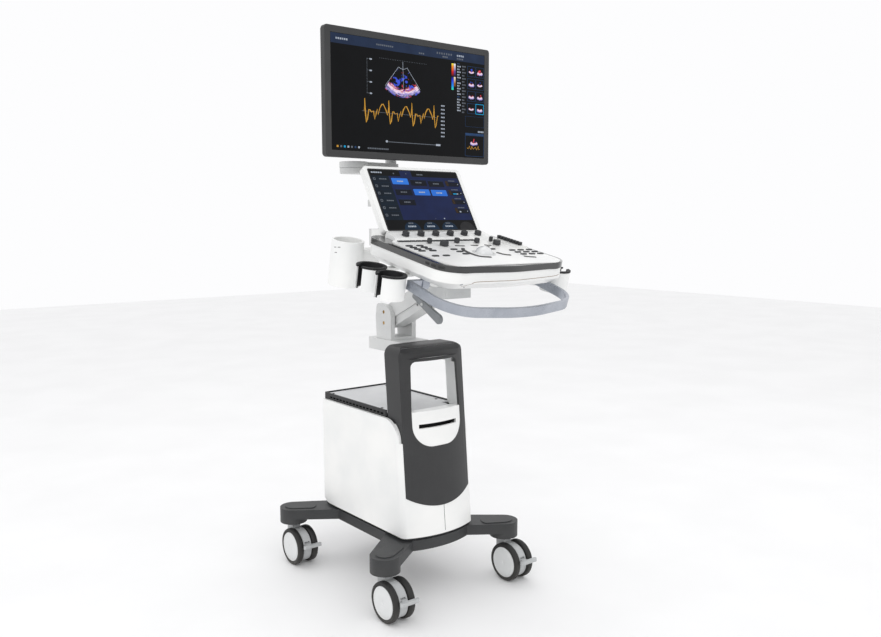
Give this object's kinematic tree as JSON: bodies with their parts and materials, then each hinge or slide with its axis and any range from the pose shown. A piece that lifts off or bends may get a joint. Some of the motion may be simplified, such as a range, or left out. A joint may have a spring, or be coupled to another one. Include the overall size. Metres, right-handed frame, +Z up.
{
  "type": "cart-based ultrasound machine",
  "caption": "Wheeled ultrasound cart with a height-adjustable swivelling console, touch panel, control deck, probe holders and an arm-mounted monitor.",
  "frame": {"origin": "on the floor below the middle of the whole machine", "axes": "+X to the operator's right, +Y from the operator towards the back, +Z up"},
  "size_m": [0.5864, 0.843, 1.541],
  "materials": {
    "ball_plastic": "polished",
    "base_grey": "satin moulded",
    "black_plastic": "satin",
    "cast_alloy": "painted die casting",
    "charcoal_cover": "satin moulded",
    "gloss_band": "gloss",
    "handle_alloy": "silver anodised",
    "knob_grey": "soft touch",
    "light_grey": "satin powder coat",
    "liner_rubber": "matt",
    "module_metal": "sheet metal",
    "pedal_grey": "satin",
    "pin_brass": "plain",
    "screen_glass": "display glass",
    "tray_grey": "fine texture",
    "tyre": "polyurethane",
    "white_cover": "fine moulded texture"
  },
  "bodies": {
    "cart": {"base_platform": "base_grey", "side_cover_left": "white_cover", "side_cover_right": "white_cover", "rear_panel": "charcoal_cover", "column_cover": "charcoal_cover", "column_frame": "light_grey", "printer_bezel": "white_cover", "printer_unit": "black_plastic", "top_tray": "tray_grey", "tray_rim": "black_plastic", "chassis": "module_metal", "electronics_module": "module_metal", "power_supply": "module_metal", "power_inlet": "black_plastic", "probe_sockets": "black_plastic", "lift_yoke": "light_grey", "lift_pins": "pin_brass"},
    "caster_fl": {"caster_fork_fl": "pedal_grey"},
    "wheels_fl": {"caster_wheels_fl": "tyre"},
    "pedal_fl": {"caster_pedal_fl": "pedal_grey"},
    "caster_fr": {"caster_fork_fr": "pedal_grey"},
    "wheels_fr": {"caster_wheels_fr": "tyre"},
    "pedal_fr": {"caster_pedal_fr": "pedal_grey"},
    "caster_rl": {"caster_fork_rl": "pedal_grey"},
    "wheels_rl": {"caster_wheels_rl": "tyre"},
    "pedal_rl": {"caster_pedal_rl": "pedal_grey"},
    "caster_rr": {"caster_fork_rr": "pedal_grey"},
    "wheels_rr": {"caster_wheels_rr": "tyre"},
    "pedal_rr": {"caster_pedal_rr": "pedal_grey"},
    "upper_arm": {"lift_arm_upper": "light_grey"},
    "lower_arm": {"lift_arm_lower": "light_grey"},
    "head": {"lift_head": "cast_alloy"},
    "lever": {"release_lever": "cast_alloy"},
    "console": {"console_shell": "white_cover", "console_band": "gloss_band", "console_deck": "white_cover", "handle": "handle_alloy", "touch_frame": "white_cover", "touch_glass": "screen_glass", "probe_holders": "white_cover", "holder_liners": "liner_rubber", "gel_warmer": "white_cover", "monitor_neck": "light_grey"},
    "knob_1": {"knob_1": "knob_grey"},
    "knob_2": {"knob_2": "knob_grey"},
    "knob_3": {"knob_3": "knob_grey"},
    "knob_4": {"knob_4": "knob_grey"},
    "knob_5": {"knob_5": "knob_grey"},
    "knob_6": {"knob_6": "knob_grey"},
    "push_knobs": {"deck_knobs": "knob_grey"},
    "ball": {"trackball": "ball_plastic"},
    "keys": {"deck_keys": "knob_grey"},
    "sliders": {"tgc_sliders": "knob_grey"},
    "monitor_arm_1": {"monitor_arm_lower": "light_grey"},
    "monitor_arm_2": {"monitor_arm_upper": "light_grey"},
    "bracket": {"monitor_bracket": "cast_alloy"},
    "monitor": {"monitor_back": "charcoal_cover", "monitor_bezel": "charcoal_cover", "monitor_screen": "screen_glass"}
  },
  "joints": [
    {"name": "caster_swivel_fl", "type": "hinge", "parent": "cart", "child": "caster_fl", "pos_m": [-0.214, -0.11525, 0.125], "axis": [0, 0, 1], "continuous": true},
    {"name": "wheel_roll_fl", "type": "hinge", "parent": "caster_fl", "child": "wheels_fl", "pos_m": [-0.214, -0.15124, 0.055], "axis": [1, 0, 0], "continuous": true},
    {"name": "brake_pedal_fl", "type": "hinge", "parent": "caster_fl", "child": "pedal_fl", "pos_m": [-0.214, -0.18424, 0.067], "axis": [1, 0, 0], "range_deg": [0, 8]},
    {"name": "caster_swivel_fr", "type": "hinge", "parent": "cart", "child": "caster_fr", "pos_m": [0.214, -0.11525, 0.125], "axis": [0, 0, 1], "continuous": true},
    {"name": "wheel_roll_fr", "type": "hinge", "parent": "caster_fr", "child": "wheels_fr", "pos_m": [0.214, -0.15124, 0.055], "axis": [1, 0, 0], "continuous": true},
    {"name": "brake_pedal_fr", "type": "hinge", "parent": "caster_fr", "child": "pedal_fr", "pos_m": [0.214, -0.18424, 0.067], "axis": [1, 0, 0], "range_deg": [0, 8]},
    {"name": "caster_swivel_rl", "type": "hinge", "parent": "cart", "child": "caster_rl", "pos_m": [-0.214, 0.37676, 0.125], "axis": [0, 0, 1], "continuous": true},
    {"name": "wheel_roll_rl", "type": "hinge", "parent": "caster_rl", "child": "wheels_rl", "pos_m": [-0.214, 0.34075, 0.055], "axis": [1, 0, 0], "continuous": true},
    {"name": "brake_pedal_rl", "type": "hinge", "parent": "caster_rl", "child": "pedal_rl", "pos_m": [-0.214, 0.30776, 0.067], "axis": [1, 0, 0], "range_deg": [0, 8]},
    {"name": "caster_swivel_rr", "type": "hinge", "parent": "cart", "child": "caster_rr", "pos_m": [0.214, 0.37676, 0.125], "axis": [0, 0, 1], "continuous": true},
    {"name": "wheel_roll_rr", "type": "hinge", "parent": "caster_rr", "child": "wheels_rr", "pos_m": [0.214, 0.34075, 0.055], "axis": [1, 0, 0], "continuous": true},
    {"name": "brake_pedal_rr", "type": "hinge", "parent": "caster_rr", "child": "pedal_rr", "pos_m": [0.214, 0.30776, 0.067], "axis": [1, 0, 0], "range_deg": [0, 8]},
    {"name": "lift_raise", "type": "hinge", "parent": "cart", "child": "upper_arm", "pos_m": [0, 0.12476, 0.781], "axis": [1, 0, 0], "range_deg": [-27, 33]},
    {"name": "lower_link", "type": "hinge", "parent": "cart", "child": "lower_arm", "pos_m": [0, 0.12476, 0.749], "axis": [1, 0, 0], "range_deg": [-27, 33]},
    {"name": "head_level", "type": "hinge", "parent": "upper_arm", "child": "head", "pos_m": [0, -0.01119, 0.84439], "axis": [1, 0, 0], "range_deg": [-33, 27]},
    {"name": "release_squeeze", "type": "hinge", "parent": "head", "child": "lever", "pos_m": [-0.045, -0.06919, 0.81899], "axis": [1, 0, 0], "range_deg": [-8, 0], "stiffness_Nm_per_rad": 2, "springref_deg": 3.44},
    {"name": "console_swivel", "type": "hinge", "parent": "head", "child": "console", "pos_m": [0, -0.11219, 0.86839], "axis": [0, 0, 1], "range_deg": [-30, 30]},
    {"name": "knob_turn_1", "type": "hinge", "parent": "console", "child": "knob_1", "pos_m": [-0.125, -0.09206, 1.0048], "axis": [0, -0.3463, 0.9381], "continuous": true},
    {"name": "knob_turn_2", "type": "hinge", "parent": "console", "child": "knob_2", "pos_m": [-0.075, -0.09206, 1.0048], "axis": [0, -0.3463, 0.9381], "continuous": true},
    {"name": "knob_turn_3", "type": "hinge", "parent": "console", "child": "knob_3", "pos_m": [-0.025, -0.09206, 1.0048], "axis": [0, -0.3463, 0.9381], "continuous": true},
    {"name": "knob_turn_4", "type": "hinge", "parent": "console", "child": "knob_4", "pos_m": [0.025, -0.09206, 1.0048], "axis": [0, -0.3463, 0.9381], "continuous": true},
    {"name": "knob_turn_5", "type": "hinge", "parent": "console", "child": "knob_5", "pos_m": [0.075, -0.09206, 1.0048], "axis": [0, -0.3463, 0.9381], "continuous": true},
    {"name": "knob_turn_6", "type": "hinge", "parent": "console", "child": "knob_6", "pos_m": [0.125, -0.09206, 1.0048], "axis": [0, -0.3463, 0.9381], "continuous": true},
    {"name": "knobs_push", "type": "slide", "parent": "console", "child": "push_knobs", "axis": [0, -0.2021, 0.9794], "range_m": [-0.0012, 0], "stiffness_N_per_m": 900, "springref_m": 0.001},
    {"name": "ball_roll", "type": "hinge", "parent": "console", "child": "ball", "pos_m": [0.002, -0.25642, 0.95516], "axis": [1, 0, 0], "continuous": true},
    {"name": "keys_press", "type": "slide", "parent": "console", "child": "keys", "axis": [0, -0.2021, 0.9794], "range_m": [-0.0012, 0], "stiffness_N_per_m": 1200, "springref_m": 0.002},
    {"name": "sliders_move", "type": "slide", "parent": "console", "child": "sliders", "axis": [1, 0, 0], "range_m": [-0.008, 0.008]},
    {"name": "monitor_arm_base", "type": "hinge", "parent": "console", "child": "monitor_arm_1", "pos_m": [0, 0.11475, 1.173], "axis": [0, 0, 1], "range_deg": [-80, 4]},
    {"name": "monitor_arm_elbow", "type": "hinge", "parent": "monitor_arm_1", "child": "monitor_arm_2", "pos_m": [-0.136, 0.13276, 1.1886], "axis": [0, 0, 1], "range_deg": [-60, 60]},
    {"name": "monitor_swivel", "type": "hinge", "parent": "monitor_arm_2", "child": "bracket", "pos_m": [0, 0.14675, 1.345], "axis": [0, 0, 1], "range_deg": [-60, 60]},
    {"name": "monitor_tilt", "type": "hinge", "parent": "bracket", "child": "monitor", "pos_m": [0, 0.10275, 1.345], "axis": [1, 0, 0], "range_deg": [-12, 12]}
  ],
  "couplings": [
    {"joint": "lower_link", "follows": "lift_raise", "ratio": 1},
    {"joint": "head_level", "follows": "lift_raise", "ratio": -1}
  ]
}
